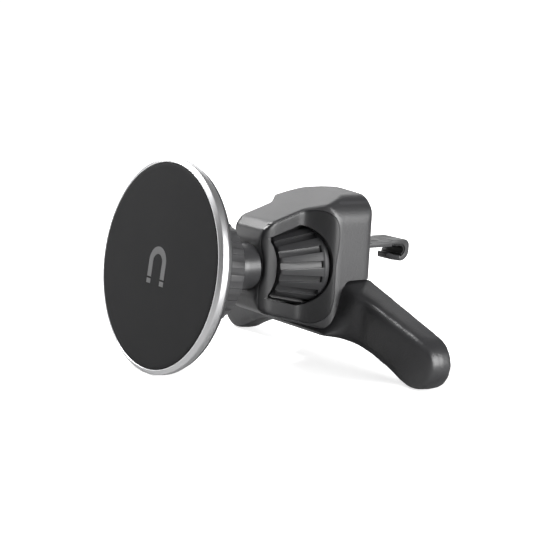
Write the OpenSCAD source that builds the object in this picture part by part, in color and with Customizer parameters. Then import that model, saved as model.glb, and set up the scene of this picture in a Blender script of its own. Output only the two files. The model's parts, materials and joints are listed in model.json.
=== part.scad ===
// Car phone mount: a magnetic disc head on a ball joint, a clamp body with a thumb wheel,
// a hook that grips one blade of an air vent, and a two-legged bracket that braces it.
// Frame: +Y towards the vent, -Y towards the driver, +Z up. The origin lies on the
// axis of the ball stud, the thumb wheel and the hook shank, in the plane of the back pad.

/* [Head] */
// Radius of the rubber front pad
pad_r = 27.9; // [26:0.1:28]
// Outer radius of the aluminium ring
ring_r = 29.4; // [29:0.1:30]
// Distance from the ball's centre to the front of the pad
head_reach = 15.2; // [15:0.1:16]
// Upward tilt of the head as it stands
head_tilt = 7.4; // [0:0.1:12]
// Number of arc magnets in the head
magnet_count = 18; // [12:1:20]

/* [Ball joint] */
// Radius of the ball
ball_r = 8.5; // [8.3:0.1:8.6]
// Distance from the back pad to the ball's centre
ball_dist = 49.2; // [48.5:0.1:52]
// Radius of the lock nut at its rear face
nut_r = 14.3; // [13.5:0.1:15]
// Number of grip grooves around the lock nut
nut_grooves = 24; // [16:1:30]
// Radius of the boss between the body and the ball
boss_r = 6.75; // [6:0.05:7]

/* [Body] */
// Half width of the body at the front
front_half = 8.0; // [7.5:0.1:8.5]
// Half width of the body at the rear
rear_half = 14.6; // [14:0.1:15]
// Height of the body's top at the rear
top_z = 21.8; // [20:0.1:23]
// Wall thickness of the body
wall = 1.8; // [1.5:0.1:2]

/* [Thumb wheel] */
// Radius of the wheel's rear rim
wheel_r = 13.3; // [13:0.1:13.5]
// Radius of the wheel at its front
wheel_front_r = 9.9; // [9.5:0.1:10.5]
// Number of grip slots around the wheel
wheel_slots = 18; // [12:1:20]

/* [Hook] */
// Half width of the hook strip
hook_half = 4.9; // [4:0.1:5]
// Thickness of the hook strip
hook_t = 1.5; // [1.2:0.1:1.6]
// Distance from the back pad to the rear of the jaw
hook_reach = 22.8; // [20:0.1:26]

/* [Legs] */
// Distance from the middle plane to the centre of a leg's tip
leg_x = 42.0; // [41:0.5:43]
// Radius of a leg's tip
leg_tip_r = 7.6; // [7:0.1:8]
// Height of the tip's centre below the axis
leg_drop = 21.6; // [20:0.1:23]

/* [Hidden] */
$fn = 96;

// Places along the axis; y grows towards the vent
ball_y = -ball_dist;
pad_y = ball_y - head_reach;
pad_t = 1.0;
ring_rear_y = pad_y + 3.45;
ring_in_r = pad_r - 0.7;
cover_face_y = ring_rear_y;
cover_step_y = pad_y + 6.8;
socket_r = 11.6;
socket_in_r = 10.35;
socket_end_y = ball_y + 2.2;
nut_rear_y = ball_y + 4.0;
nut_front_y = cover_step_y + 0.2;
nut_front_r = nut_r + 0.6;
nut_lean = atan((nut_front_r - nut_r) / (nut_rear_y - nut_front_y));
groove_w = 1.9;
boss_front_y = ball_y + 8.6;
boss_rear_y = -34.2;
tenon_r = 5.0;
neck_r = 4.0;
wall_face_y = -31.2;
stud_washer_t = 0.8;
inner_washer_r = 5.9;
wheel_front_y = -29.4;
slot_end_y = -17.0;
slot_depth = 0.8;
slot_w = 2.0;
wheel_rear_y = -14.8;
plate_front_y = -13.8;
plate_t = 2.0;
body_rear_y = -0.5;
rear_cover_t = 2.0;
cover_in_x = 6.2;
leg_front_y = -10.3;
leg_front_tip_y = -7.8;
arch_top_z = -5.0;
arch_z = -19.7;
arch_bow_r = 125;
shank_r = 3.9;
shank_bore_r = shank_r + 0.1;
strip_top_z = 5.1;
strip_low_z = strip_top_z - hook_t;
screw_r = 0.95;
screw_head_r = 1.8;
rear_screw_seat_y = -2.0;
rear_screw_end_y = -1.4;
gap = 0.1;

// A solid of revolution about the Y axis; points are [radius, y]
module revolve(points) {
    rotate([-90, 0, 0]) rotate_extrude() polygon(points);
}

// A straight cylinder along +Y from y
module rod(y, length, radius) {
    translate([0, y, 0]) rotate([-90, 0, 0]) cylinder(h = length, r = radius);
}

// A flat ring about the Y axis
module washer(y, thickness, r_out, r_in) {
    difference() {
        rod(y, thickness, r_out);
        rod(y - 1, thickness + 2, r_in);
    }
}

// Extrudes a [y, z] outline along X from x0 to x1
module across(x0, x1) {
    translate([x0, 0, 0]) rotate([90, 0, 90]) linear_extrude(x1 - x0) children();
}

// Extrudes an [x, z] outline along Y from y0 to y1
module through(y0, y1) {
    translate([0, y1, 0]) rotate([90, 0, 0]) linear_extrude(y1 - y0) children();
}

// Turns the head about the ball's centre so that it faces slightly up
module tilted() {
    translate([0, ball_y, 0]) rotate([-head_tilt, 0, 0]) translate([0, -ball_y, 0]) children();
}

// Points of an arc, from angle a0 to a1, on an ellipse with half axes ra and rb
function arc(cx, cy, ra, rb, a0, a1, steps) =
    [for (i = [0 : steps]) let (a = a0 + (a1 - a0) * i / steps) [cx + ra * cos(a), cy + rb * sin(a)]];

// ---- Head ----

module front_pad() {
    color([0.13, 0.13, 0.14]) tilted() revolve([[0, pad_y], [pad_r - 0.25, pad_y], [pad_r, pad_y + 0.25],
        [pad_r, pad_y + pad_t], [0, pad_y + pad_t]]);
}

module front_ring() {
    color([0.78, 0.78, 0.79]) tilted() revolve([[pad_r + 0.1, pad_y + pad_t], [pad_r + 0.1, pad_y + 0.1],
        [pad_r + 0.35, pad_y], [ring_r, pad_y + 0.9], [ring_r, pad_y + 2.6],
        [ring_r - 0.7, ring_rear_y], [ring_in_r, ring_rear_y], [ring_in_r, pad_y + pad_t]]);
}

module screw_ring(y, length, radius) {
    for (a = [45 : 90 : 315]) rotate([0, a, 0]) translate([15.5, 0, 0]) rod(y, length, radius);
}

module magnet_tray() {
    color([0.2, 0.2, 0.21]) tilted() difference() {
        washer(pad_y + pad_t, ring_rear_y - pad_y - pad_t, ring_in_r - gap, 5);
        washer(pad_y + 1.5, 3, 26.6, 22.2);
        screw_ring(pad_y, 5, screw_r + 0.05);
        screw_ring(pad_y, 2.0, screw_head_r + 0.1);
    }
}

module magnets() {
    step = 360 / magnet_count;
    color([0.62, 0.62, 0.64]) tilted() for (i = [0 : magnet_count - 1]) rotate([0, i * step, 0])
        translate([0, pad_y + 3.0, 0]) rotate([90, 0, 0]) linear_extrude(1.5)
            polygon(concat(arc(0, 0, 26.4, 26.4, 0, step - 1.2, 6), arc(0, 0, 22.4, 22.4, step - 1.2, 0, 6)));
}

module steel_yoke() {
    color([0.55, 0.56, 0.58]) tilted() washer(pad_y + 3.0, 0.42, 26.5, 22.3);
}

module head_cover() {
    color([0.12, 0.12, 0.13]) tilted() difference() {
        union() {
            revolve([[0, cover_face_y], [ring_r - 0.8, cover_face_y], [ring_r - 0.8, cover_face_y + 0.6],
                [ring_r - 1.6, cover_face_y + 1.3], [22, cover_face_y + 2.6],
                [17, cover_step_y], [0, cover_step_y]]);
            rod(cover_step_y - 1, socket_end_y - cover_step_y + 1, socket_r);
        }
        translate([0, ball_y, 0]) sphere(socket_in_r);
        rod(ball_y, 10, socket_in_r);
        for (a = [0 : 90 : 270]) rotate([0, a, 0]) translate([8, ball_y - 2, -0.6]) cube([6, 10, 1.2]);
        screw_ring(cover_face_y - 1, 3.4, screw_r + 0.05);
    }
}

module head_screws() {
    color([0.5, 0.5, 0.52]) tilted() {
        screw_ring(pad_y + 1.1, 4.6, screw_r);
        screw_ring(pad_y + 1.1, 0.8, screw_head_r);
    }
}

// ---- Ball joint ----

module lock_nut() {
    step = 360 / nut_grooves;
    color([0.23, 0.23, 0.24]) tilted() difference() {
        revolve([[socket_r + 0.2, nut_front_y], [nut_front_r - 0.4, nut_front_y],
            [nut_front_r, nut_front_y + 0.4],
            [nut_r, nut_rear_y - 0.4], [nut_r - 0.4, nut_rear_y], [9.3, nut_rear_y],
            [9.3, nut_rear_y - 1.1], [socket_r + 0.2, nut_rear_y - 1.3]]);
        for (i = [0 : nut_grooves - 1]) rotate([0, (i + 0.5) * step, 0])
            translate([nut_r + 0.15, nut_front_y + 1.2, -groove_w / 2]) rotate([0, 0, nut_lean])
                cube([3, 20, groove_w]);
    }
}

// A spherical cap that rides on the front of the ball
module friction_pad() {
    in_r = ball_r + 0.1;
    out_r = socket_in_r - 0.1;
    color([0.05, 0.05, 0.052]) tilted() translate([0, ball_y, 0])
        revolve(concat(arc(0, 0, in_r, in_r, -84, -40, 22), arc(0, 0, out_r, out_r, -40, -84, 22)));
}

// The ring that the lock nut presses on the rear of the ball
module compression_ring() {
    in_r = ball_r + 0.1;
    color([0.05, 0.05, 0.052]) tilted() translate([0, ball_y, 0]) revolve(concat(
        arc(0, 0, in_r, in_r, 2, 32.3, 15), [[8.4, 4.6], [9.1, 2.8], [10.2, 2.75], [10.2, 0.3]]));
}

module ball_stud() {
    color([0.2, 0.2, 0.21]) difference() {
        union() {
            translate([0, ball_y, 0]) sphere(ball_r);
            revolve([[0, ball_y], [neck_r, ball_y], [neck_r, boss_front_y - 1.2],
                [boss_r - 0.8, boss_front_y],
                [boss_r, boss_front_y + 0.8], [boss_r, boss_rear_y], [tenon_r, boss_rear_y],
                [tenon_r, wall_face_y - gap], [0, wall_face_y - gap]]);
        }
        rod(-44, 20, 1.55);
    }
}

module stud_washer() {
    color([0.7, 0.7, 0.7]) washer(wall_face_y, stud_washer_t, inner_washer_r, 1.6);
}

module stud_screw() {
    color([0.6, 0.6, 0.62]) difference() {
        union() {
            rod(-43, 43 + wall_face_y + 1, 1.5);
            rod(wall_face_y + stud_washer_t, 1.8, 2.8);
        }
        rod(wall_face_y + 1.6, 3, 1.25, $fn = 6);
    }
}

// ---- Body ----

// Half width of the body at y, following an S curve from front to rear
function half_width(y) = let (t = min(1, max(0, (y + 22.5) / 9.5)))
    front_half + (rear_half - front_half) * t * t * (3 - 2 * t);

// Plan of the body's right half edge, pulled in by t
function plan_edge(t) = concat(
    [[front_half - 2.6 - t, -36], [front_half - 0.6 - t, -35], [front_half - t, -33]],
    [for (y = [-23 : 1 : -13]) [half_width(y) - t, y]], [[rear_half - t, -2], [rear_half - 1.2 - t, 0]]);

// The body's outer shape pulled in by t: side view, plan and rear view together
module body_form(t) {
    edge = plan_edge(t);
    mirrored = [for (i = [len(edge) - 1 : -1 : 0]) [-edge[i][0], edge[i][1]]];
    half = rear_half - t;
    top = top_z - t;
    round_r = 6 - t;
    intersection() {
        across(-20, 20) polygon(concat(
            [[-33.6 + t, -1.5], [-33.6 + t, 2.5], [-35 + t, 8.5], [-34.6 + t, 11.4 - t]],
            [[-32.6 + t, 13.4 - t]],
            [[-7, 21.3 - t], [-4.5, top], [-2.5, top - 0.2], [body_rear_y, top - 1.4]],
            [[body_rear_y, -20.3 + t], [-9, -19.2 + t], [-15, -17.8 + t], [-32, -13.2 + t]],
            [[-34.4 + t, -11.6 + t], [-35.4 + t, -8.4], [-34.6 + t, -4.5]]));
        translate([0, 0, -40]) linear_extrude(80) polygon(concat(edge, mirrored));
        through(-40, 10) polygon(concat(arc(half - round_r, top - 0.7 - round_r, round_r, round_r, 0, 75, 8),
            [[0, top]], arc(round_r - half, top - 0.7 - round_r, round_r, round_r, 105, 180, 8),
            arc(3 - half, -17.5 + t, 3, 3, 180, 270, 4), arc(half - 3, -17.5 + t, 3, 3, 270, 360, 4)));
    }
}

// Outline of a side cover in [y, z]; its front edge is hollow and its rear bulges forward
module cover_outline(t) {
    offset(r = 1.6) offset(delta = -1.6 - t) polygon([[-33.5, 1], [-34.1, 5], [-35.3, 8.8], [-34.9, 11.3],
        [-32.6, 12.8], [-20.5, 16.5], [-17, 16.9], [-14.2, 14.9], [-13, 11.5], [-12.9, 8], [-13.8, 1],
        [-13.6, -8], [-14.6, -13.2], [-18.2, -16.3], [-33.4, -12.4], [-35.3, -10.6], [-35.5, -7.4], [-34.1, -3]]);
}

// Outline of the window over the thumb wheel in [y, z]
module window_outline() {
    polygon(concat(arc(-22.5, 0.75, 8, 11.6, 90, -90, 24), [[-33.3, -8.1]],
        arc(-42.3, 0.45, 12.5, 12.5, -38, 38, 12), [[-33.1, 9.0]]));
}

// The room that the leg bracket takes out of the housing
module leg_room(t) {
    across(-30, 30) offset(r = 2.5) offset(delta = -2.5 + t)
        polygon([[leg_front_y, -3.6], [6, -3.6], [6, -30], [leg_front_y, -30]]);
}

// The room that the turning wheel needs inside the body
module wheel_room() {
    clear = 0.4;
    revolve([[0, wheel_front_y - clear], [wheel_front_r + clear, wheel_front_y - clear],
        [wheel_r + clear, slot_end_y], [wheel_r + clear, wheel_rear_y + 0.3], [0, wheel_rear_y + 0.3]]);
}

module housing() {
    color([0.32, 0.32, 0.33]) difference() {
        body_form(0);
        intersection() {
            body_form(wall);
            translate([-20, wall_face_y, -30]) cube([40, 40, 60]);
        }
        across(cover_in_x, 20) cover_outline(0);
        across(-20, -cover_in_x) cover_outline(0);
        leg_room(gap);
        rod(-40, 12, tenon_r + 0.05);
        rod(-40, 40 + boss_rear_y, boss_r + 0.05);
    }
}

module side_cover(side) {
    color([0.24, 0.24, 0.25]) difference() {
        intersection() {
            difference() {
                body_form(0);
                body_form(wall);
            }
            across(side > 0 ? cover_in_x + gap : -20, side > 0 ? 20 : -cover_in_x - gap) cover_outline(0.12);
        }
        across(-20, 20) window_outline();
        leg_room(gap);
        rod(-40, 40 + boss_rear_y, boss_r + 0.4);
        wheel_room();
    }
}

module side_cover_left() { side_cover(-1); }
module side_cover_right() { side_cover(1); }

module bearing_plate() {
    color([0.2, 0.2, 0.21]) difference() {
        intersection() {
            body_form(wall + gap);
            translate([-20, plate_front_y, -30]) cube([40, plate_t, 60]);
        }
        rod(plate_front_y - 1, plate_t + 2, shank_r + 0.3);
        leg_room(gap + 0.1);
        rear_screw_places(plate_front_y - 1, plate_t + 2, screw_r + 0.05);
        leg_screw_places(plate_front_y - 1, plate_t + 2, screw_r + 0.05);
    }
}

module rear_cover() {
    color([0.22, 0.22, 0.23]) difference() {
        intersection() {
            body_form(wall + gap);
            translate([-20, body_rear_y - rear_cover_t, -30]) cube([40, rear_cover_t, 60]);
        }
        leg_room(gap + 0.1);
        hook_passage();
        rear_screw_places(-4, 6, screw_r + 0.05);
        rear_screw_places(rear_screw_seat_y, 3, screw_head_r + 0.1);
        translate([-12.2, -1.3, -3.0]) cube([24.4, 3, 16.6]);
    }
}

// The channel that the hook's shank block and strip slide through
module hook_passage() {
    translate([-hook_half - 0.4, -6, -4.5]) cube([2 * hook_half + 0.8, 12, strip_top_z + 5.0]);
}

module rear_screw_places(y, length, radius) {
    for (x = [-9.5, 9.5]) for (z = [0, 11]) translate([x, 0, z]) rod(y, length, radius);
}

module rear_screws() {
    color([0.5, 0.5, 0.52]) {
        rear_screw_places(plate_front_y + 0.6, rear_screw_seat_y - plate_front_y - 0.6, screw_r);
        rear_screw_places(rear_screw_seat_y, rear_screw_end_y - rear_screw_seat_y, screw_head_r);
    }
}

module back_pad() {
    color([0.1, 0.1, 0.1]) difference() {
        translate([-12, -1.3, -2.8]) cube([24, 1.3, 16.2]);
        hook_passage();
    }
}

// ---- Thumb wheel ----

module clamp_wheel() {
    slope = (wheel_r - 0.4 - wheel_front_r) / (slot_end_y - wheel_front_y);
    lean = atan(slope);
    color([0.3, 0.3, 0.31]) difference() {
        revolve([[4.4, wheel_front_y], [wheel_front_r - 0.5, wheel_front_y],
            [wheel_front_r, wheel_front_y + 0.5],
            [wheel_r - 0.4, slot_end_y], [wheel_r, slot_end_y + 0.5], [wheel_r, wheel_rear_y - 0.5],
            [wheel_r - 0.5, wheel_rear_y], [6.6, wheel_rear_y], [6.6, -26.1], [4.4, -26.1]]);
        for (i = [0 : wheel_slots - 1]) rotate([0, (i + 0.5) * 360 / wheel_slots, 0])
            translate([wheel_front_r - slot_depth - slope, wheel_front_y - 1, -slot_w / 2])
                rotate([0, 0, -lean]) cube([3, (slot_end_y - wheel_front_y + 1) / cos(lean), slot_w]);
    }
}

module wheel_insert() {
    color([0.75, 0.6, 0.3]) washer(-26, wheel_rear_y + 26, 6.55, shank_bore_r);
}

module thrust_washer_front() {
    front = wall_face_y + stud_washer_t + gap;
    color([0.75, 0.75, 0.76]) washer(front, wheel_front_y - gap - front, inner_washer_r, 3.2);
}

module thrust_washer_rear() {
    color([0.75, 0.75, 0.76]) washer(wheel_rear_y + 0.1, 0.8, 11, 7);
}

// ---- Hook ----

module hook_shank() {
    color([0.2, 0.2, 0.21]) {
        difference() {
            union() {
                rod(-22.3, 17.3, shank_r);
                translate([-4.3, -5.5, -shank_r]) cube([8.6, 10, shank_r + strip_low_z]);
            }
            rivet_places(0, 8, 1.05);
        }
    }
}

module rivet_places(z, length, radius) {
    for (y = [-3, 2.2]) translate([0, y, z]) cylinder(h = length, r = radius);
}

// Inner and outer faces of the jaw as [y, z] outlines
jaw_y = hook_reach - 3.3;
lip_y = 16.1;
lip_cut = 5;
jaw_outer = concat([[15.9, 5.6]], arc(jaw_y, 2.3, 3.3, 3.3, 90, -86, 16),
    [[lip_y + 1.3, -0.75], [lip_y + 0.4, -0.35], [lip_y, 0.3]]);
jaw_inner = concat([[lip_y + 0.1, 0.9], [lip_y + 0.7, 1.3], [lip_y + 1.5, 0.9]],
    arc(jaw_y - 0.2, 2.35, 1.95, 1.85, -86, 90, 14));

module hook_plate() {
    color([0.28, 0.28, 0.29]) difference() {
        across(-hook_half, hook_half) polygon(concat([[-5, strip_low_z], [-5, strip_top_z],
            [15.3, strip_top_z]], jaw_outer, jaw_inner, [[15.9, 4.2], [15.9, strip_low_z]]));
        rivet_places(0, 8, 1.05);
        translate([-2.1, 12.0, 0]) cube([4.2, 0.8, 8]);
        // The lip's front corners are cut round, so that it finds its way behind a blade
        for (s = [-1, 1]) translate([s * (hook_half + 0.5), lip_y - lip_cut * 0.71, -2]) rotate([0, 0, 45])
            cube([lip_cut, lip_cut, 4.6]);
    }
}

module hook_rivets() {
    color([0.6, 0.6, 0.62]) {
        rivet_places(0.05, strip_top_z - 0.05, 1.0);
        rivet_places(strip_top_z, 0.25, 1.7);
    }
}

// Rubber lining of the jaw's back and roof, with three grip ridges
module hook_pad() {
    color([0.08, 0.08, 0.08]) across(-hook_half + 0.3, hook_half - 0.3) polygon(concat(
        [[16.2, 4.15], [16.4, 3.7], [17.2, 3.9], [18.0, 3.5], [18.8, 3.7]],
        arc(jaw_y - 0.3, 2.35, 1.45, 1.3, 60, -60, 8), arc(jaw_y - 0.2, 2.35, 1.9, 1.8, -66, 89, 12)));
}

// ---- Legs ----

// Half of the bracket's outline in [x, z], from the middle out to the tip and back
function leg_outline() = concat([[0, arch_top_z], [8, arch_top_z], [9.5, -3.75], [14, -3.75]],
    arc(leg_x, -leg_drop, leg_tip_r, leg_tip_r, 70, -118, 24),
    [[36, -27.0], [32, -25.2], [28, -23.7], [24, -22.4]],
    [for (x = [20 : -2 : 0]) [x, arch_z - arch_bow_r + sqrt(arch_bow_r * arch_bow_r - x * x)]]);

module bracket_solid() {
    end_x = leg_x + leg_tip_r + 1;
    intersection() {
        union() {
            through(-12, 0) polygon(leg_outline());
            mirror([1, 0, 0]) through(-12, 0) polygon(leg_outline());
        }
        translate([0, 0, -40]) linear_extrude(60) polygon([[-13, leg_front_y], [13, leg_front_y],
            [end_x - 2, leg_front_tip_y], [end_x, leg_front_tip_y + 1.6], [end_x, 0],
            [-end_x, 0], [-end_x, leg_front_tip_y + 1.6], [2 - end_x, leg_front_tip_y]]);
    }
}

module leg_screw_places(y, length, radius) {
    for (x = [-8, 8]) translate([x, 0, -12]) rod(y, length, radius);
}

// Outline of the soft pad let into the rear of a leg's tip
module leg_pad_outline(t) {
    hull() {
        translate([leg_x, -leg_drop]) circle(4.6 + t);
        translate([leg_x - 14, -leg_drop + 4.6]) circle(3.6 + t);
    }
}

module leg_bracket() {
    color([0.2, 0.2, 0.21]) difference() {
        bracket_solid();
        leg_screw_places(-20, 30, screw_r + 0.15);
        leg_screw_places(-2.5, 5, screw_head_r + 0.3);
        for (s = [0, 1]) mirror([s, 0, 0]) through(-0.8, 1) leg_pad_outline(0.1);
    }
}

module leg_screws() {
    color([0.5, 0.5, 0.52]) {
        leg_screw_places(plate_front_y + 0.5, -2.5 - plate_front_y - 0.5, screw_r);
        leg_screw_places(-2.5, 1.2, screw_head_r);
    }
}

module leg_pad(side) {
    color([0.08, 0.08, 0.08]) mirror([side, 0, 0]) through(-0.8, -0.05) leg_pad_outline(0);
}

module leg_pad_left() { leg_pad(1); }
module leg_pad_right() { leg_pad(0); }

front_pad();
front_ring();
magnet_tray();
magnets();
steel_yoke();
head_cover();
head_screws();
lock_nut();
friction_pad();
compression_ring();
ball_stud();
stud_screw();
stud_washer();
housing();
side_cover_left();
side_cover_right();
clamp_wheel();
wheel_insert();
thrust_washer_front();
thrust_washer_rear();
bearing_plate();
rear_cover();
rear_screws();
back_pad();
hook_shank();
hook_plate();
hook_rivets();
hook_pad();
leg_bracket();
leg_screws();
leg_pad_left();
leg_pad_right();
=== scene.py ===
"""Car phone mount: the looks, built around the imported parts.

Frame: +Y towards the vent, -Y towards the driver, +Z up, in metres. Outlines are given in
millimetres and turned into metres where the piece is made.
"""

import json
import math

import bpy
from mathutils import Matrix, Vector

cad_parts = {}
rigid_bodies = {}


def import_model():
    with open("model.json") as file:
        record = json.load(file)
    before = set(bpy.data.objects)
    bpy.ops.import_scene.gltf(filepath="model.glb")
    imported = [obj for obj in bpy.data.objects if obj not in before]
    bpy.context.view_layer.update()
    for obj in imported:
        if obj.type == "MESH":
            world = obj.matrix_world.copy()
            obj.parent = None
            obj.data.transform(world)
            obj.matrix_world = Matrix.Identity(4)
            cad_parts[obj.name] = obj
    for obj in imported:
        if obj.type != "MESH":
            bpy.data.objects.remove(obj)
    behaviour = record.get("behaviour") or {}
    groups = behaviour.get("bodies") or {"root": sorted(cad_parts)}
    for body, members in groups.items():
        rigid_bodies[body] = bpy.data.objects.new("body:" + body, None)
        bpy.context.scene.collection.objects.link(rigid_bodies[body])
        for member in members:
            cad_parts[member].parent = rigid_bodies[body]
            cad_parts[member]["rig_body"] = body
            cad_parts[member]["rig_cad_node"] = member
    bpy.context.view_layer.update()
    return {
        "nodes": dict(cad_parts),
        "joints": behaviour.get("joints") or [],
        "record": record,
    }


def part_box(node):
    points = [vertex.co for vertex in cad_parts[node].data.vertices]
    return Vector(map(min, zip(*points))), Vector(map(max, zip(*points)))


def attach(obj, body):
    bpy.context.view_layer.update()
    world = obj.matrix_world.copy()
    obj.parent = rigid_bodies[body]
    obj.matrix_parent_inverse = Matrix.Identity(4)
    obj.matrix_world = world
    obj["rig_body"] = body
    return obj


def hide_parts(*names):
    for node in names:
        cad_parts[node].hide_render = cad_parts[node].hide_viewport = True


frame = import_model()
nodes = frame["nodes"]
record = frame["record"]
joints = {j["name"]: j for j in frame["joints"]}

MM = 0.001

# ---- Driving places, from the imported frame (millimetres) ----


def low(node):
    """The lowest x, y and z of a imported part."""
    return [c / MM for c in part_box(node)[0]]


def high(node):
    """The highest x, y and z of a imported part."""
    return [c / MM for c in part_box(node)[1]]


BALL = Vector(joints["head_spin"]["pos_m"])
HEAD_AXIS = Vector(joints["head_spin"]["axis"])
HEAD_TILT = math.atan2(HEAD_AXIS.z, -HEAD_AXIS.y)
BALL_Y = BALL.y / MM
PHONE_FACE = Vector(next(m for m in record["mounts"] if m["name"] == "phone_face")["pos_m"])
PAD_Y = BALL_Y - (PHONE_FACE - BALL).length / MM
RING_R = high("front_ring")[0]
PAD_R = high("front_pad")[0]
NUT_R = high("lock_nut")[0]
WHEEL_R = high("clamp_wheel")[0]
WHEEL_FRONT_Y = low("clamp_wheel")[1]
WHEEL_REAR_Y = high("clamp_wheel")[1]
REAR_HALF = high("housing")[0]
TOP_Z = high("housing")[2]
BODY_REAR_Y = high("housing")[1]
HOOK_HALF = high("hook_plate")[0]
HOOK_END_Y = high("hook_plate")[1]
LEG_END_X = high("leg_bracket")[0]
LEG_LOW_Z = low("leg_bracket")[2]

# ---- The other driving sizes (millimetres) ----

FRONT_HALF = 8.0
FRONT_CORNER_R = 5
FRONT_WALL_Y = -31.2
REAR_RIM = 3
CROWN_R = 8
WALL = 1.8
COVER_IN_X = 6.2
SEAM = 0.12
BALL_R = 8.5
BOSS_R = 6.74
SEAT_Y = -34.2
LEG_THICKNESS = 12
LEG_TIP_R = 7.6
ARCH_Z = -19.7
PAST = 40  # how far a tool reaches that cuts right through a piece


# ---- Hands: how pieces are made ----


def only(piece):
    """Selects one piece, and nothing else."""
    bpy.ops.object.select_all(action="DESELECT")
    piece.select_set(True)
    bpy.context.view_layer.objects.active = piece


def apply(piece, modifier):
    only(piece)
    bpy.ops.object.modifier_apply(modifier=modifier.name)


def turned(name, outline, closed=True, segments=128):
    """Turns an outline of (radius, y) corners about the Y axis; an open one is capped at both ends."""
    bpy.ops.object.select_all(action="DESELECT")
    r_now, y_now = outline[0]
    bpy.ops.mesh.primitive_circle_add(
        vertices=segments,
        radius=r_now * MM,
        fill_type="NOTHING" if closed else "NGON",
        location=(0, y_now * MM, 0),
        rotation=(math.pi / 2, 0, 0),
    )
    piece = bpy.context.object
    piece.name = name
    bpy.ops.object.transform_apply(location=True, rotation=True, scale=True)
    bpy.ops.object.mode_set(mode="EDIT")
    bpy.ops.mesh.select_mode(type="EDGE")
    bpy.ops.mesh.select_all(action="SELECT")
    for r, y in outline[1:] + (outline[:1] if closed else []):
        bpy.ops.mesh.extrude_edges_move(TRANSFORM_OT_translate={"value": (0, (y - y_now) * MM, 0)})
        bpy.ops.transform.resize(value=(r / r_now, 1, r / r_now), center_override=(0, y * MM, 0))
        r_now, y_now = r, y
    if not closed:
        bpy.ops.mesh.edge_face_add()
    bpy.ops.mesh.select_all(action="SELECT")
    bpy.ops.mesh.remove_doubles(threshold=1e-6)
    bpy.ops.mesh.normals_make_consistent(inside=False)
    bpy.ops.object.mode_set(mode="OBJECT")
    return piece


SIDES = {
    "x": lambda a, b, depth: (depth, a, b),
    "y": lambda a, b, depth: (a, depth, b),
    "z": lambda a, b, depth: (a, b, depth),
}


def cut_out(name, corners, axis, start, end):
    """A plate cut to an outline and drawn out along an axis: corners are (y, z), (x, z) or (x, y)."""
    bpy.ops.object.select_all(action="DESELECT")
    bpy.ops.mesh.primitive_circle_add(vertices=len(corners), radius=MM, fill_type="NGON")
    piece = bpy.context.object
    piece.name = name
    place = SIDES[axis]
    for vertex, (a, b) in zip(piece.data.vertices, corners):
        vertex.co = Vector(place(a, b, start)) * MM
    bpy.ops.object.mode_set(mode="EDIT")
    bpy.ops.mesh.select_all(action="SELECT")
    draw = Vector(place(0, 0, end - start)) * MM
    bpy.ops.mesh.extrude_region_move(TRANSFORM_OT_translate={"value": draw})
    bpy.ops.mesh.select_all(action="SELECT")
    bpy.ops.mesh.normals_make_consistent(inside=False)
    bpy.ops.object.mode_set(mode="OBJECT")
    return piece


def combine(piece, other, how, keep=False):
    """Joins, cuts or crosses a piece with another one, which is used up unless it is kept."""
    modifier = piece.modifiers.new("combine", "BOOLEAN")
    modifier.operation = how
    modifier.solver = "EXACT"
    modifier.object = other
    apply(piece, modifier)
    if not keep:
        bpy.data.objects.remove(other, do_unlink=True)
    return piece


def copy_of(piece, name):
    """A second piece of the same shape, under its own name."""
    twin = piece.copy()
    twin.data = piece.data.copy()
    twin.name = name
    bpy.context.scene.collection.objects.link(twin)
    return twin


def joined(name, parts):
    """Makes one piece of several."""
    bpy.ops.object.select_all(action="DESELECT")
    for part in parts:
        part.select_set(True)
    bpy.context.view_layer.objects.active = parts[0]
    bpy.ops.object.join()
    parts[0].name = name
    return parts[0]


def around(name, piece, count, start=0.0):
    """Copies a piece around the Y axis, and joins the copies."""
    ring = []
    for i in range(count):
        twin = copy_of(piece, f"{name}_{i}")
        angle = math.radians(start) + 2 * math.pi * i / count
        twin.data.transform(Matrix.Rotation(angle, 4, "Y"))
        ring.append(twin)
    bpy.data.objects.remove(piece, do_unlink=True)
    return joined(name, ring)


def rounded(piece, width, segments=3, angle=30):
    """Breaks every sharp edge with a small radius, as a mould or a lathe tool leaves it."""
    modifier = piece.modifiers.new("round", "BEVEL")
    modifier.width = width * MM
    modifier.segments = segments
    modifier.limit_method = "ANGLE"
    modifier.angle_limit = math.radians(angle)
    modifier.miter_outer = "MITER_ARC"
    modifier.harden_normals = False
    apply(piece, modifier)
    return piece


def moulded(piece, grid, passes):
    """Melts the edges of a rough block into the soft radii of a moulding."""
    modifier = piece.modifiers.new("grid", "REMESH")
    modifier.mode = "VOXEL"
    modifier.voxel_size = grid * MM
    apply(piece, modifier)
    modifier = piece.modifiers.new("melt", "SMOOTH")
    modifier.factor = 0.5
    modifier.iterations = passes
    apply(piece, modifier)
    return piece


def smooth(piece, angle=35):
    """Shades a piece smooth, except over edges sharper than the angle."""
    only(piece)
    bpy.ops.object.shade_smooth_by_angle(angle=math.radians(angle))
    return piece


def tilted(piece):
    """Turns a head piece about the ball's centre to the way the head stands."""
    turn = Matrix.Rotation(-HEAD_TILT, 4, "X")
    piece.data.transform(Matrix.Translation(BALL) @ turn @ Matrix.Translation(-BALL))
    return piece


def finished(piece, body, slot, *replaced):
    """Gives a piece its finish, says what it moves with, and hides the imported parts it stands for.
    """
    piece.data.materials.clear()
    piece.data.materials.append(FINISH[slot])
    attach(piece, body)
    if replaced:
        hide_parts(*replaced)
    return piece


def arc(cx, cy, half_wide, half_high, start, end, steps):
    """Corners along an ellipse about (cx, cy), from one angle in degrees to another."""
    points = []
    for i in range(steps + 1):
        angle = math.radians(start + (end - start) * i / steps)
        points.append((cx + half_wide * math.cos(angle), cy + half_high * math.sin(angle)))
    return points


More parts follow.
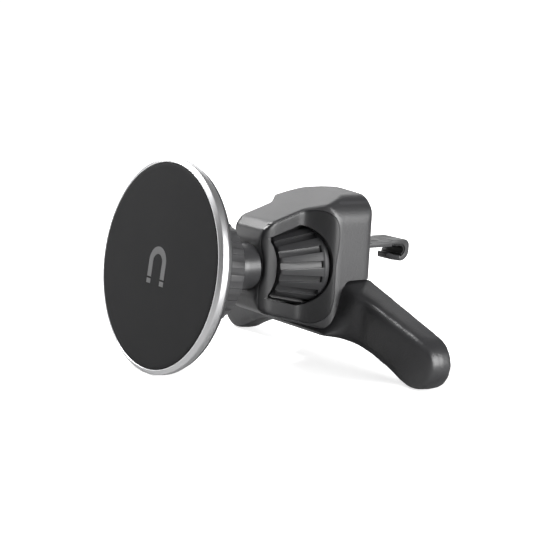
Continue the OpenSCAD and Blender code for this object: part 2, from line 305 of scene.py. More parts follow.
def circle(cx, cy, radius, steps=24):
    """Corners of a closed circle."""
    return arc(cx, cy, radius, radius, 0, 360 - 360 / steps, steps - 1)


def eased(corners, radius, steps=6):
    """An outline with each corner rounded to a radius, or less where its sides are short."""
    points = []
    most = 0.45  # of the shorter side
    for i, here in enumerate(corners):
        corner = Vector(here)
        before = Vector(corners[i - 1]) - corner
        after = Vector(corners[(i + 1) % len(corners)]) - corner
        reach = min(radius, before.length * most, after.length * most)
        start = corner + before.normalized() * reach
        end = corner + after.normalized() * reach
        for k in range(steps + 1):
            t = k / steps
            point = start * (1 - t) ** 2 + corner * 2 * t * (1 - t) + end * t * t
            points.append((point.x, point.y))
    return points


# ---- Finishes ----


def grain_group():
    """Spark-eroded grain: a fine height, and a slow mottle for colour and gloss."""
    group = bpy.data.node_groups.new("moulding_grain", "ShaderNodeTree")
    group.interface.new_socket("Scale", in_out="INPUT", socket_type="NodeSocketFloat")
    group.interface.new_socket("Height", in_out="OUTPUT", socket_type="NodeSocketFloat")
    group.interface.new_socket("Mottle", in_out="OUTPUT", socket_type="NodeSocketFloat")
    n = group.nodes
    entry = n.new("NodeGroupInput")
    leave = n.new("NodeGroupOutput")
    place = n.new("ShaderNodeTexCoord")
    fine = n.new("ShaderNodeTexNoise")
    fine.inputs["Detail"].default_value = 3.0
    fine.inputs["Roughness"].default_value = 0.6
    slow = n.new("ShaderNodeTexNoise")
    slow.inputs["Scale"].default_value = 90.0
    slow.inputs["Detail"].default_value = 4.0
    link = group.links.new
    link(place.outputs["Object"], fine.inputs["Vector"])
    link(place.outputs["Object"], slow.inputs["Vector"])
    link(entry.outputs["Scale"], fine.inputs["Scale"])
    link(fine.outputs["Fac"], leave.inputs["Height"])
    link(slow.outputs["Fac"], leave.inputs["Mottle"])
    return group


def edge_wear_and_painted_light_group():
    """Masks of the outer edges, tinted partly as handling wear and partly as painted highlight, and of
    the inner corners, which get painted shade.
    """
    group = bpy.data.node_groups.new("edge_wear_and_painted_light", "ShaderNodeTree")
    n = group.nodes
    leave = n.new("NodeGroupOutput")
    shape = n.new("ShaderNodeNewGeometry")
    # Edge masks the outer edges (handling wear and painted highlight); the second mask picks the inner
    # corners for painted shade.
    for name, start, end in (("Edge", 0.52, 0.62), ("Painted Crease Shade", 0.49, 0.42)):
        group.interface.new_socket(name, in_out="OUTPUT", socket_type="NodeSocketFloat")
        ramp = n.new("ShaderNodeMapRange")
        ramp.inputs["From Min"].default_value = start
        ramp.inputs["From Max"].default_value = end
        group.links.new(shape.outputs["Pointiness"], ramp.inputs["Value"])
        group.links.new(ramp.outputs["Result"], leave.inputs[name])
    return group


def lathe_group():
    """Fine rings about the disc's axis, as the lathe leaves them."""
    group = bpy.data.node_groups.new("lathe_rings", "ShaderNodeTree")
    group.interface.new_socket("Height", in_out="OUTPUT", socket_type="NodeSocketFloat")
    n = group.nodes
    leave = n.new("NodeGroupOutput")
    place = n.new("ShaderNodeTexCoord")
    turn = n.new("ShaderNodeMapping")
    turn.vector_type = "TEXTURE"
    turn.inputs["Location"].default_value = BALL
    turn.inputs["Rotation"].default_value = (-HEAD_TILT, 0, 0)
    rings = n.new("ShaderNodeTexWave")
    rings.wave_type = "RINGS"
    rings.rings_direction = "Y"
    rings.inputs["Scale"].default_value = 1400.0
    rings.inputs["Distortion"].default_value = 1.5
    rings.inputs["Detail"].default_value = 3.0
    link = group.links.new
    link(place.outputs["Object"], turn.inputs["Vector"])
    link(turn.outputs["Vector"], rings.inputs["Vector"])
    link(rings.outputs["Fac"], leave.inputs["Height"])
    return group


GRAIN = grain_group()
EDGE_WEAR_AND_PAINTED_LIGHT = edge_wear_and_painted_light_group()
LATHE = lathe_group()


def blank(name):
    """A new material, its node tree and its shader."""
    material = bpy.data.materials.new(name)
    material.use_nodes = True
    tree = material.node_tree
    shader = tree.nodes["Principled BSDF"]
    return material, tree, shader


def placed(tree, group):
    """Puts a node group into a material."""
    node = tree.nodes.new("ShaderNodeGroup")
    node.node_tree = group
    return node


def between(tree, factor, low_value, high_value):
    """A value that goes from low to high as the factor goes from 0 to 1."""
    node = tree.nodes.new("ShaderNodeMapRange")
    node.inputs["To Min"].default_value = low_value
    node.inputs["To Max"].default_value = high_value
    tree.links.new(factor, node.inputs["Value"])
    return node.outputs["Result"]


def shade(colour, strength):
    """A colour made darker or lighter, with full alpha."""
    return tuple(min(1.0, part * strength) for part in colour) + (1.0,)


def blended(tree, factor, first, second):
    """A mix of two colours, each a plain colour or another node's output."""
    node = tree.nodes.new("ShaderNodeMix")
    node.data_type = "RGBA"
    tree.links.new(factor, node.inputs["Factor"])
    colour_a, colour_b, result = node.inputs[6], node.inputs[7], node.outputs[2]
    for socket, value in ((colour_a, first), (colour_b, second)):
        if isinstance(value, tuple):
            socket.default_value = value
        else:
            tree.links.new(value, socket)
    return result


def mottled(tree, shader, grain, roughness):
    """Gloss that varies a little over the surface."""
    spread = 0.05
    gloss = between(tree, grain.outputs["Mottle"], roughness - spread, roughness + spread)
    tree.links.new(gloss, shader.inputs["Roughness"])


def embossed(tree, shader, height, relief, depth):
    """Relief from a height pattern; depth is in millimetres."""
    bump = tree.nodes.new("ShaderNodeBump")
    bump.inputs["Strength"].default_value = relief
    bump.inputs["Distance"].default_value = depth * MM
    tree.links.new(height, bump.inputs["Height"])
    tree.links.new(bump.outputs["Normal"], shader.inputs["Normal"])
    return bump


def plastic(name, colour, roughness, scale=2600.0, relief=0.25, edge=1.5, specular=0.5, radius=0.25):
    """Moulded plastic or rubber: grain, a slow mottle, outer edges in a tone of their own that is
    partly handling wear and partly painted highlight, and painted shade in the inner corners.
    """
    material, tree, shader = blank(name)
    grain = placed(tree, GRAIN)
    grain.inputs["Scale"].default_value = scale
    edge_wear_and_light = placed(tree, EDGE_WEAR_AND_PAINTED_LIGHT)
    body = blended(tree, grain.outputs["Mottle"], shade(colour, 0.88), shade(colour, 1.12))
    # Outer edges take the edge factor's tone: partly handling wear, partly painted highlight; a factor
    # below one paints shade there instead.
    outer = blended(tree, edge_wear_and_light.outputs["Edge"], body, shade(colour, edge))
    # Painted shade: the inner corners go nearly black, as if in shade.
    whole = blended(tree, edge_wear_and_light.outputs["Painted Crease Shade"], outer, shade(colour, 0.15))
    tree.links.new(whole, shader.inputs["Base Color"])
    mottled(tree, shader, grain, roughness)
    bump = embossed(tree, shader, grain.outputs["Height"], relief, 0.05)
    soft_edge = tree.nodes.new("ShaderNodeBevel")
    soft_edge.samples = 4
    soft_edge.inputs["Radius"].default_value = radius * MM
    tree.links.new(soft_edge.outputs["Normal"], bump.inputs["Normal"])
    shader.inputs["Specular IOR Level"].default_value = specular
    return material


def metal(name, colour, roughness, lathe=False, relief=0.15):
    """Bare metal with a slow mottle, and fine grain or the rings of a lathe."""
    material, tree, shader = blank(name)
    grain = placed(tree, GRAIN)
    grain.inputs["Scale"].default_value = 1800.0
    body = blended(tree, grain.outputs["Mottle"], shade(colour, 0.93), shade(colour, 1.04))
    tree.links.new(body, shader.inputs["Base Color"])
    mottled(tree, shader, grain, roughness)
    height = placed(tree, LATHE).outputs["Height"] if lathe else grain.outputs["Height"]
    embossed(tree, shader, height, relief, 0.03)
    shader.inputs["Metallic"].default_value = 1.0
    return material


PLASTICS = {
    "pad_rubber": {
        "colour": (0.010, 0.010, 0.011), "roughness": 0.72,
        "scale": 3200.0, "relief": 0.2, "edge": 1.2, "specular": 0.3,
    },
    "printed_grey": {
        "colour": (0.15, 0.15, 0.152), "roughness": 0.6,
        "scale": 3200.0, "relief": 0.15, "edge": 1.1, "specular": 0.35,
    },
    "black_plastic": {"colour": (0.03, 0.03, 0.032), "roughness": 0.5},
    "nut_plastic": {
        "colour": (0.06, 0.06, 0.062), "roughness": 0.38,
        # edge 0.6 darkens the nut's outer edges and groove rims: painted shade lines.
        "edge": 0.6, "specular": 0.9, "radius": 0.05,
    },
    "liner_plastic": {"colour": (0.012, 0.012, 0.013), "roughness": 0.55},
    "stud_plastic": {
        "colour": (0.04, 0.04, 0.042), "roughness": 0.32,
        "relief": 0.08, "specular": 0.7,
    },
    "housing_plastic": {
        "colour": (0.036, 0.036, 0.038), "roughness": 0.4,
        "scale": 1700.0, "relief": 1.0, "specular": 0.9, "radius": 0.2,
    },
    "cover_plastic": {
        "colour": (0.012, 0.012, 0.013), "roughness": 0.36,
        "scale": 2200.0, "relief": 0.5, "specular": 0.6, "radius": 0.1,
    },
    "wheel_plastic": {
        "colour": (0.036, 0.036, 0.038), "roughness": 0.36,
        "relief": 0.3, "specular": 0.75, "radius": 0.05,
    },
    "grip_rubber": {"colour": (0.012, 0.012, 0.013), "roughness": 0.7, "scale": 2200.0},
    "hook_plastic": {"colour": (0.05, 0.05, 0.052), "roughness": 0.38, "relief": 0.15},
    "leg_plastic": {
        "colour": (0.03, 0.03, 0.032), "roughness": 0.36,
        "scale": 1700.0, "relief": 1.0, "specular": 0.75,
    },
}
METALS = {
    "ring_aluminium": {
        "colour": (0.72, 0.72, 0.73), "roughness": 0.42,
        "lathe": True, "relief": 0.08,
    },
    "magnet_nickel": {"colour": (0.6, 0.6, 0.62), "roughness": 0.2},
    "plated_steel": {"colour": (0.6, 0.6, 0.62), "roughness": 0.35},
    "screw_steel": {"colour": (0.45, 0.45, 0.47), "roughness": 0.4},
    "insert_brass": {"colour": (0.75, 0.58, 0.28), "roughness": 0.3},
}
FINISH = {name: plastic(name, **look) for name, look in PLASTICS.items()}
FINISH.update({name: metal(name, **look) for name, look in METALS.items()})


def dress_cad_nodes():
    """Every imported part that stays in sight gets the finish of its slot."""
    for part in record["subparts"]:
        mesh = nodes[part["node"]].data
        mesh.materials.clear()
        mesh.materials.append(FINISH[part["material_slot"]])


# ---- Head ----


def head_pieces():
    """The aluminium ring, and the soft pad inside it."""
    ring_depth = 3.45
    rear_y = PAD_Y + ring_depth
    ring = turned("disc_ring", [
        (PAD_R + 0.1, PAD_Y + 0.9), (PAD_R + 0.1, PAD_Y + 0.12), (PAD_R + 0.35, PAD_Y + 0.02),
        (RING_R - 0.1, PAD_Y + 0.8), (RING_R - 0.02, PAD_Y + 1.0), (RING_R - 0.02, PAD_Y + 2.55),
        (RING_R - 0.7, rear_y), (PAD_R - 0.7, rear_y), (PAD_R - 0.7, PAD_Y + 0.9)], segments=224)
    rounded(ring, 0.12, 2)
    finished(smooth(tilted(ring)), "head", "ring_aluminium", "front_ring")

    pad = turned("disc_pad", [
        (PAD_R - 1.4, PAD_Y), (PAD_R - 0.4, PAD_Y + 0.02), (PAD_R - 0.1, PAD_Y + 0.12),
        (PAD_R - 0.01, PAD_Y + 0.35), (PAD_R - 0.01, PAD_Y + 1.0), (PAD_R - 1.4, PAD_Y + 1.0)],
        closed=False, segments=224)
    finished(smooth(tilted(pad)), "head", "pad_rubber", "front_pad")


def lock_nut_piece():
    """The nut behind the disc: a tapered ring with grip grooves."""
    front_y = PAD_Y + 7.0
    rear_y = BALL_Y + 4.0
    groove_count = 24
    groove_half = 0.95
    nut = turned("grip_nut", [
        (11.8, front_y), (NUT_R - 0.4, front_y), (NUT_R - 0.05, front_y + 0.4),
        (NUT_R - 0.65, rear_y - 0.4), (NUT_R - 1.05, rear_y), (9.3, rear_y),
        (9.3, rear_y - 1.1), (11.8, rear_y - 1.3)], segments=192)
    floor_r = NUT_R - 0.56
    start = front_y + 1.2
    end = rear_y + 2
    taper = 0.6 / (rear_y - front_y)
    corners = [(floor_r, start), (NUT_R + 2, start), (NUT_R + 2, end),
               (floor_r - taper * (end - start), end)]
    groove = cut_out("groove", corners, "z", -groove_half, groove_half)
    combine(nut, around("grooves", groove, groove_count, 180 / groove_count), "DIFFERENCE")
    rounded(nut, 0.06, 2, 40)
    finished(smooth(tilted(nut)), "nut", "nut_plastic", "lock_nut")


# ---- Body ----


def half_width(y):
    """Half width of the body: narrow in front, wide at the rear, with an S curve between."""
    t = min(1, max(0, (y + 22.5) / 9.5))
    return FRONT_HALF + (REAR_HALF - FRONT_HALF) * t * t * (3 - 2 * t)


def rear_outline(t):
    """The body seen from the rear in (x, z), pulled in by t."""
    top = TOP_Z - t
    half = REAR_HALF - t
    crown = CROWN_R - t
    foot_r = 3
    points = arc(half - crown, top - 0.7 - crown, crown, crown, 0, 75, 10) + [(0, top)]
    points += arc(crown - half, top - 0.7 - crown, crown, crown, 105, 180, 10)
    points += arc(foot_r - half, -17.5 + t, foot_r, foot_r, 180, 270, 6)
    return points + arc(half - foot_r, -17.5 + t, foot_r, foot_r, 270, 360, 6)


def body_block(name, t):
    """The body's outer shape pulled in by t: side view, plan and rear view crossed."""
    top = TOP_Z - t
    half = REAR_HALF - t
    side = [(-33.6 + t, -1.5), (-33.6 + t, 2.5), (-35 + t, 8.0), (-34.2 + t, 11.2 - t),
            (-31.6 + t, 13.6 - t), (-7, top - 0.5), (-4.5, top), (-2.5, top - 0.2),
            (BODY_REAR_Y, top - 1.4), (BODY_REAR_Y, -20.3 + t), (-9, -19.2 + t), (-15, -17.8 + t),
            (-32, -13.2 + t), (-34.4 + t, -11.6 + t), (-35.4 + t, -8.4), (-34.6 + t, -4.5)]
    corner = FRONT_CORNER_R - t
    edge = arc(FRONT_HALF - FRONT_CORNER_R, -31, corner, corner, -90, 0, 10)
    edge += [(half_width(-23 + 0.5 * i) - t, -23 + 0.5 * i) for i in range(21)]
    edge += [(half, -2), (half - 1.2, 0)]
    plan = edge + [(-x, y) for x, y in reversed(edge)]
    block = cut_out(name, side, "x", -PAST, PAST)
    combine(block, cut_out("plan", plan, "z", -PAST, PAST), "INTERSECT")
    return combine(block, cut_out("rear", rear_outline(t), "y", -PAST, PAST), "INTERSECT")


def cover_outline(t):
    """Outline of a side cover in (y, z), spread outwards by t from its seam."""
    corners = [(-33.5, 1), (-34.1, 5), (-35.3, 8.8), (-34.9, 11.3), (-32.6, 12.8), (-20.5, 16.5),
               (-17, 16.9), (-14.2, 14.9), (-13, 11.5), (-12.9, 8), (-13.8, 1), (-13.6, -8),
               (-14.6, -13.2), (-18.2, -16.3), (-33.4, -12.4), (-35.3, -10.6), (-35.5, -7.4),
               (-34.1, -3)]
    centre = Vector((-24, 0))
    spread = []
    for corner in corners:
        out = Vector(corner) - centre
        spread.append(tuple(centre + out * (1 + t / out.length)))
    return eased(spread, 1.9)


def window_outline():
    """Outline in (y, z) of the window over the thumb wheel."""
    rear = arc(-22.5, 0.75, 8, 11.6, 90, -90, 32)
    front = arc(-42.3, 0.45, 12.5, 12.5, -38, 38, 16)
    return rear + [(-33.3, -8.1)] + front + [(-33.1, 9.0)]


def leg_room():
    """The notch in the body that the leg bracket comes out of."""
    front_y = low("leg_bracket")[1] - SEAM
    top_z = -3.5
    corners = [(front_y, top_z), (6, top_z), (6, -30), (-20, -30), (-18.6, -19.2), (-14.4, -17.4),
               (front_y, -12)]
    return cut_out("notch", eased(corners, 2.6), "x", -PAST, PAST)


def wheel_room():
    """The room in which the thumb wheel turns."""
    clear = 0.4
    corners = [(WHEEL_R - 3.2 + clear, WHEEL_FRONT_Y - clear), (WHEEL_R + clear, -17),
               (WHEEL_R + clear, WHEEL_REAR_Y + 0.3)]
    return turned("room", corners, closed=False, segments=96)


def stud_room():
    """The bore for the ball stud: wide for its boss, narrow for the root behind it."""
    wide_r = BOSS_R + 0.06
    narrow_r = 5.05
    corners = [(wide_r, -PAST), (wide_r, SEAT_Y), (narrow_r, SEAT_Y), (narrow_r, -28)]
    return turned("bore", corners, closed=False)


def slab(name, start_y, end_y):
    """A block across the whole body, between two depths."""
    corners = [(-PAST, start_y), (PAST, start_y), (PAST, end_y), (-PAST, end_y)]
    return cut_out(name, corners, "z", -PAST, PAST)


def body_pieces():
    """The housing, open at its sides and its rear, and the two side covers."""
    rim_y = BODY_REAR_Y - REAR_RIM
    outer = moulded(body_block("housing_shell", 0), 0.42, 16)
    inner = body_block("hollow", WALL)
    combine(inner, slab("front_wall", -PAST, FRONT_WALL_Y), "DIFFERENCE")
    combine(inner, slab("rear_rim", rim_y, PAST), "DIFFERENCE")
    shell = combine(copy_of(outer, "shell"), inner, "DIFFERENCE", keep=True)

    housing = combine(outer, inner, "DIFFERENCE")
    plate_top_z = high("rear_cover")[2] + SEAM
    opening = [(x, min(z, plate_top_z)) for x, z in rear_outline(WALL)]
    combine(housing, cut_out("rear_opening", opening, "y", rim_y - 1, PAST), "DIFFERENCE")
    for side in (1, -1):
        opening = cut_out("side_opening", cover_outline(0), "x", side * COVER_IN_X, side * PAST)
        combine(housing, opening, "DIFFERENCE")
    combine(housing, leg_room(), "DIFFERENCE")
    combine(housing, stud_room(), "DIFFERENCE")
    finished(smooth(housing, 40), "body", "housing_plastic", "housing")

    for side, name in ((1, "right"), (-1, "left")):
        cover = copy_of(shell, "cover_" + name)
        start, end = sorted((side * (COVER_IN_X + 0.1), side * PAST))
        combine(cover, cut_out("keep", cover_outline(-SEAM), "x", start, end), "INTERSECT")
        combine(cover, cut_out("window", window_outline(), "x", -PAST, PAST), "DIFFERENCE")
        combine(cover, leg_room(), "DIFFERENCE")
        combine(cover, wheel_room(), "DIFFERENCE")
        finished(smooth(cover, 40), "body", "cover_plastic", "side_cover_" + name)
    bpy.data.objects.remove(shell, do_unlink=True)


def ball_stud_piece():
    """The ball, its neck, and the boss in front of the body."""
    root_r = 4.95
    ball = arc(0, BALL_Y, BALL_R, BALL_R, -87, 62, 40)
    neck = [(4.0, -41.8), (4.3, -41.2), (5.6, -40.7), (6.3, -40.4), (6.7, -39.6)]
    base = [(BOSS_R, -38), (BOSS_R, SEAT_Y - 0.1), (root_r, SEAT_Y - 0.05), (root_r, -31.3)]
    stud = turned("ball_stud_boss", ball + neck + base, closed=False)
    finished(smooth(stud, 40), "body", "stud_plastic", "ball_stud")


# ---- Thumb wheel ----


def wheel_piece():
    """The thumb wheel: a cone at the front, with slots for the thumb."""
    slot_count = 18
    slot_half = 1
    slot_depth = 0.8
    slot_end_y = -17
    lean = 3
    front_r = WHEEL_R - 3.4
    rear_r = WHEEL_R - 0.4
    slope = (rear_r - front_r) / (slot_end_y - WHEEL_FRONT_Y)
    wheel = turned("thumb_wheel", [
        (4.4, WHEEL_FRONT_Y), (front_r - 0.5, WHEEL_FRONT_Y), (front_r, WHEEL_FRONT_Y + 0.5),
        (rear_r, slot_end_y), (WHEEL_R - 0.02, -16.5), (WHEEL_R - 0.02, WHEEL_REAR_Y - 0.5),
        (WHEEL_R - 0.5, WHEEL_REAR_Y), (6.6, WHEEL_REAR_Y), (6.6, -26.1), (4.4, -26.1)], segments=216)
    corners = [(front_r - slot_depth - slope, WHEEL_FRONT_Y - 1), (WHEEL_R + 3, WHEEL_FRONT_Y - 1),
               (WHEEL_R + 3, slot_end_y), (rear_r - slot_depth, slot_end_y)]
    slot = cut_out("slot", corners, "z", -slot_half, slot_half)
    combine(wheel, around("slots", slot, slot_count, 180 / slot_count + lean), "DIFFERENCE")
    rounded(wheel, 0.08, 2, 40)
    finished(smooth(wheel), "wheel", "wheel_plastic", "clamp_wheel")


# ---- Hook ----


def hook_pieces():
    """The hook strip with its C-shaped jaw, and the dark lining of the jaw."""
    top_z = 5.1
    under_z = 3.6
    jaw_r = 3.3
    jaw_y = HOOK_END_Y - jaw_r
    roof_r = 2.1
    roof_y = 15.9
    lip_y = 16.1
    lip_cut = 3.55
    outer = [(roof_y, 5.6)] + arc(HOOK_END_Y - roof_r, 3.5, roof_r, roof_r, 90, 0, 10)
    outer += arc(jaw_y, 2.3, jaw_r, jaw_r, -12, -86, 14)
    outer += [(lip_y + 1.3, -0.75), (lip_y + 0.4, -0.35), (lip_y, 0.3)]
    inner = [(lip_y + 0.1, 0.9), (lip_y + 0.7, 1.3), (lip_y + 1.5, 0.9)]
    inner += arc(jaw_y - 0.2, 2.35, 1.95, 1.85, -86, 90, 20)
    strip = [(-5, under_z), (-5, top_z), (15.3, top_z)]
    outline = strip + outer + inner + [(roof_y, 4.2), (roof_y, under_z)]
    hook = cut_out("hook", outline, "x", -HOOK_HALF, HOOK_HALF)
    for side in (1, -1):
        x = side * (HOOK_HALF + 0.5)
        diamond = [(x, lip_y - lip_cut), (x + lip_cut, lip_y), (x, lip_y + lip_cut),
                   (x - lip_cut, lip_y)]
        combine(hook, cut_out("corner", diamond, "z", -2, 2.6), "DIFFERENCE")
    slit = cut_out("slit", [(-2.1, 12.0), (2.1, 12.0), (2.1, 12.8), (-2.1, 12.8)], "z", 0, 8)
    combine(hook, slit, "DIFFERENCE")
    for rivet_y in (-3, 2.2):
        combine(hook, cut_out("hole", circle(0, rivet_y, 1.05), "z", 0, 8), "DIFFERENCE")
    rounded(hook, 0.18, 2, 40)
    finished(smooth(hook), "hook", "hook_plastic", "hook_plate")

    ridges = [(16.2, 4.15), (16.4, 3.7), (17.2, 3.9), (18.0, 3.5), (18.8, 3.7)]
    lining = ridges + arc(jaw_y - 0.3, 2.35, 1.45, 1.3, 60, -60, 12)
    lining += arc(jaw_y - 0.2, 2.35, 1.9, 1.8, -66, 89, 18)
    pad = cut_out("jaw_lining", lining, "x", 0.3 - HOOK_HALF, HOOK_HALF - 0.3)
    rounded(pad, 0.06, 2, 40)
    finished(smooth(pad), "hook", "grip_rubber", "hook_pad")


# ---- Legs ----


def soften_front(piece, rear_y, passes):
    """Melts the edges in front of a depth further, and leaves those behind it as they are."""
    group = piece.vertex_groups.new(name="front")
    front = [v.index for v in piece.data.vertices if v.co.y < rear_y * MM]
    group.add(front, 1.0, "REPLACE")
    modifier = piece.modifiers.new("melt_front", "SMOOTH")
    modifier.factor = 0.5
    modifier.iterations = passes
    modifier.vertex_group = group.name
    apply(piece, modifier)


def bracket_piece():
    """The two-legged bracket under the housing, and a soft pad in the rear of each leg."""
    tip_x = LEG_END_X - LEG_TIP_R
    tip_z = LEG_LOW_Z + LEG_TIP_R
    front_y = low("leg_bracket")[1]
    tip_front_y = -7.8
    bow = 125
    screw_z = -12
    half = [(8, -5.0), (9.5, -3.75), (14, -3.75)]
    half += arc(tip_x, tip_z, LEG_TIP_R, LEG_TIP_R, 70, -118, 40)
    half += [(36, -27.0), (32, -25.2), (28, -23.7), (24, -22.4)]
    half += [(x, ARCH_Z - bow + math.sqrt(bow * bow - x * x)) for x in range(20, 0, -2)]
    outline = half + [(0, ARCH_Z)] + [(-x, z) for x, z in reversed(half)]
    bracket = cut_out("leg_bracket_shell", outline, "y", -LEG_THICKNESS, 0)
    end = LEG_END_X + 1
    plan = [(-13, front_y), (13, front_y), (end - 2, tip_front_y), (end, tip_front_y + 1.6), (end, 0),
            (-end, 0), (-end, tip_front_y + 1.6), (2 - end, tip_front_y)]
    combine(bracket, cut_out("plan", plan, "z", -PAST, PAST), "INTERSECT")
    side = [(-11, -4.5), (-12.4, -11.5), (-14.8, -16.6), (-18.2, -18.4), (-18.2, -19.0), (-9, -20.2),
            (-4, -20.2), (-4, -4.5)]
    root = cut_out("root", side, "x", -PAST, PAST)
    plan = [(-22, -10.5), (-17.5, -12.6), (-15.2, -20), (15.2, -20), (17.5, -12.6), (22, -10.5),
            (22, 0), (-22, 0)]
    combine(root, cut_out("root_plan", plan, "z", -PAST, PAST), "INTERSECT")
    combine(root, cut_out("root_outline", outline, "y", -PAST, 0), "INTERSECT")
    combine(bracket, root, "UNION")
    moulded(bracket, 0.45, 22)
    soften_front(bracket, -3.6, 130)
    for x in (8, -8):
        for radius, start in ((1.1, -20), (2.1, -2.5)):
            bore = cut_out("bore", circle(x, screw_z, radius), "y", start, 2)
            combine(bracket, bore, "DIFFERENCE")
    for side in (1, -1):
        pocket = cut_out("pocket", pad_outline(side, 0.1), "y", -0.8, 1)
        combine(bracket, pocket, "DIFFERENCE")
    finished(smooth(bracket, 40), "body", "leg_plastic", "leg_bracket")

    for side, name in ((1, "right"), (-1, "left")):
        pad = cut_out("foot_pad_" + name, pad_outline(side, 0), "y", -0.78, -0.06)
        rounded(pad, 0.15, 2, 40)
        finished(smooth(pad), "body", "grip_rubber", "leg_pad_" + name)


def pad_outline(side, t):
    """The soft pad let into the rear of a leg: a large and a small circle, joined by tangents."""
    large_r = 4.6
    small_r = 3.6
    tip = Vector((LEG_END_X - LEG_TIP_R, LEG_LOW_Z + LEG_TIP_R))
    inner = tip + Vector((-14, 4.6))
    along = tip - inner
    lean = math.degrees(math.atan2(along.y, along.x))
    touch = math.degrees(math.acos((large_r - small_r) / along.length))
    large_r += t
    small_r += t
    points = arc(tip.x, tip.y, large_r, large_r, lean - touch, lean + touch, 24)
    points += arc(inner.x, inner.y, small_r, small_r, lean + touch, lean + 360 - touch, 20)
    return [(side * x, z) for x, z in points]


# ---- Rear ----


def eased_copy(name, node, width, body, slot):
    """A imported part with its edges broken; it stands for that part."""
    piece = copy_of(nodes[node], name)
    piece.parent = None
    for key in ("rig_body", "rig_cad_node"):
        if key in piece:
            del piece[key]
    only(piece)
    bpy.ops.object.mode_set(mode="EDIT")
    bpy.ops.mesh.select_all(action="SELECT")
    bpy.ops.mesh.remove_doubles(threshold=2e-6)
    bpy.ops.mesh.dissolve_limited(angle_limit=math.radians(0.5))
    bpy.ops.object.mode_set(mode="OBJECT")
    rounded(piece, width, 2, 35)
    finished(smooth(piece), body, slot, node)


def rear_pieces():
    """The soft pad that meets the vent, and the rear plate."""
    eased_copy("vent_pad", "back_pad", 0.2, "body", "grip_rubber")
    eased_copy("rear_plate", "rear_cover", 0.12, "body", "cover_plastic")


# ---- Sign on the pad ----


def pad_mark():
    """A plain printed sign in the pad: a horseshoe magnet."""
    outer_r = 4.2
    inner_r = 2.2
    bow_z = 1.0
    leg = 4.4
    leg_z = bow_z - leg
    tip_top_z = 0.5 - leg
    tip_low_z = -leg - 0.8
    face = PAD_Y - 0.012
    back = face + 0.06
    outline = arc(0, bow_z, outer_r, outer_r, 0, 180, 32)
    outline += [(-outer_r, leg_z), (-inner_r, leg_z)]
    outline += arc(0, bow_z, inner_r, inner_r, 180, 0, 24)
    outline += [(inner_r, leg_z), (outer_r, leg_z)]
    parts = [cut_out("sign", outline, "y", face, back)]
    for side in (1, -1):
        start, end = sorted((side * inner_r, side * outer_r))
        tip = [(start, tip_top_z), (end, tip_top_z), (end, tip_low_z), (start, tip_low_z)]
        parts.append(cut_out("tip", tip, "y", face, back))
    sign = joined("magnet_sign", parts)
    finished(smooth(tilted(sign)), "head", "pad_rubber")
    sign.data.materials.clear()
    sign.data.materials.append(FINISH["printed_grey"])


# ---- Stage, light and camera ----


ROOM_LIGHT = 0.12
BACKDROP = 1.05


def stage_floor():
    """A pale floor under the ring and the feet; it glows for the camera only, more so further out."""
    ring_low = Vector((0, PHONE_FACE.y + 2.0 * MM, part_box("front_ring")[0].z))
    foot_low = Vector((0, -4 * MM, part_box("leg_bracket")[0].z))
    slope = math.atan2(foot_low.z - ring_low.z, foot_low.y - ring_low.y)
    bpy.ops.object.select_all(action="DESELECT")
    bpy.ops.mesh.primitive_plane_add(size=8, location=ring_low, rotation=(slope, 0, 0))
    floor = bpy.context.object
    floor.name = "floor"
    material, tree, shader = blank("pale_floor")
    shader.inputs["Roughness"].default_value = 0.9
    shader.inputs["Specular IOR Level"].default_value = 0.1
    shader.inputs["Emission Color"].default_value = (1, 1, 1, 1)
    ray = tree.nodes.new("ShaderNodeLightPath")
    seen = ray.outputs["Is Camera Ray"]
    paint = blended(tree, seen, (0.55, 0.55, 0.55, 1), (0.9, 0.9, 0.9, 1))
    tree.links.new(paint, shader.inputs["Base Color"])
    place = tree.nodes.new("ShaderNodeTexCoord")
    reach = tree.nodes.new("ShaderNodeVectorMath")
    reach.operation = "LENGTH"
    tree.links.new(place.outputs["Object"], reach.inputs[0])
    near = 0.10
    far = 0.35
    near_glow = 0.72
    fade = between(tree, reach.outputs["Value"], near_glow, 1.0)
    fade.node.inputs["From Min"].default_value = near
    fade.node.inputs["From Max"].default_value = far
    glow = tree.nodes.new("ShaderNodeMath")
    glow.operation = "MULTIPLY"
    tree.links.new(seen, glow.inputs[0])
    tree.links.new(fade, glow.inputs[1])
    tree.links.new(glow.outputs["Value"], shader.inputs["Emission Strength"])
    floor.data.materials.append(material)


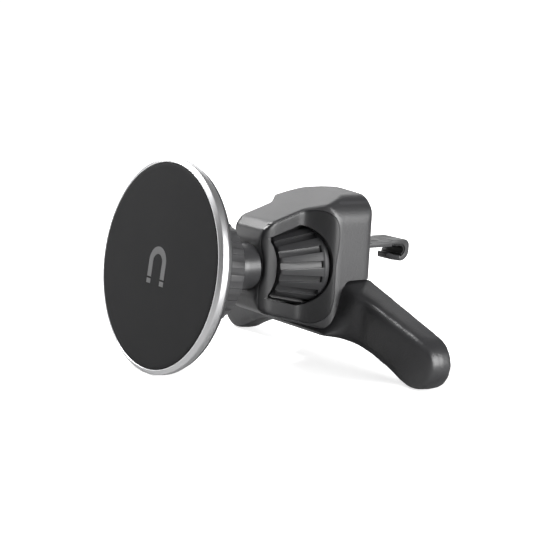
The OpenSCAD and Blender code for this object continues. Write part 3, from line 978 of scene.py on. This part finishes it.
def soft_light(name, towards, distance, width, height, brightness):
    """A softbox seen from the object in a direction; brightness is its radiance."""
    data = bpy.data.lights.new(name, "AREA")
    data.shape = "RECTANGLE"
    data.size = width
    data.size_y = height
    data.energy = brightness * math.pi * width * height
    light = bpy.data.objects.new(name, data)
    bpy.context.scene.collection.objects.link(light)
    middle = Vector((0, -0.03, 0))
    direction = Vector(towards).normalized()
    light.location = middle + direction * distance
    light.rotation_euler = direction.to_track_quat("Z", "Y").to_euler()
    light.visible_camera = False


def studio():
    """A white backdrop that lights the object only faintly, and four softboxes."""
    world = bpy.data.worlds.new("studio")
    bpy.context.scene.world = world
    world.use_nodes = True
    tree = world.node_tree
    background = tree.nodes["Background"]
    background.inputs["Color"].default_value = (1, 1, 1, 1)
    ray = tree.nodes.new("ShaderNodeLightPath")
    level = tree.nodes.new("ShaderNodeMix")
    for_light, for_camera, strength = level.inputs[2], level.inputs[3], level.outputs[0]
    for_light.default_value = ROOM_LIGHT
    for_camera.default_value = BACKDROP
    tree.links.new(ray.outputs["Is Camera Ray"], level.inputs["Factor"])
    tree.links.new(strength, background.inputs["Strength"])
    soft_light("rear_left", (-0.80, 0.42, 0.50), 0.8, 0.75, 0.30, 2.1)
    soft_light("right", (0.95, 0.24, 0.14), 0.6, 0.50, 0.36, 9.5)
    soft_light("front_left_high", (-0.55, -0.35, 0.77), 0.6, 0.17, 0.17, 42.0)
    soft_light("front_left", (-0.68, -0.70, 0.06), 0.8, 0.60, 0.36, 2.8)
    bpy.context.scene.view_settings.view_transform = "Standard"


def camera():
    """The view that the object is shown in."""
    place = Vector((299.754, -252.427, 64.821)) * MM
    right = Vector((0.5974001, 0.8002868, 0.0515187))
    up = Vector((-0.1730862, 0.0659445, 0.9826965))
    back = right.cross(up)
    data = bpy.data.cameras.new("camera")
    data.sensor_width = 36.0
    data.lens = 87.05
    data.clip_start = 0.01
    view = bpy.data.objects.new("camera", data)
    bpy.context.scene.collection.objects.link(view)
    turn = Matrix((right, up, back)).transposed()
    view.matrix_world = Matrix.Translation(place) @ turn.to_4x4()
    bpy.context.scene.camera = view


dress_cad_nodes()
head_pieces()
lock_nut_piece()
body_pieces()
ball_stud_piece()
wheel_piece()
hook_pieces()
bracket_piece()
rear_pieces()
pad_mark()
stage_floor()
studio()
camera()
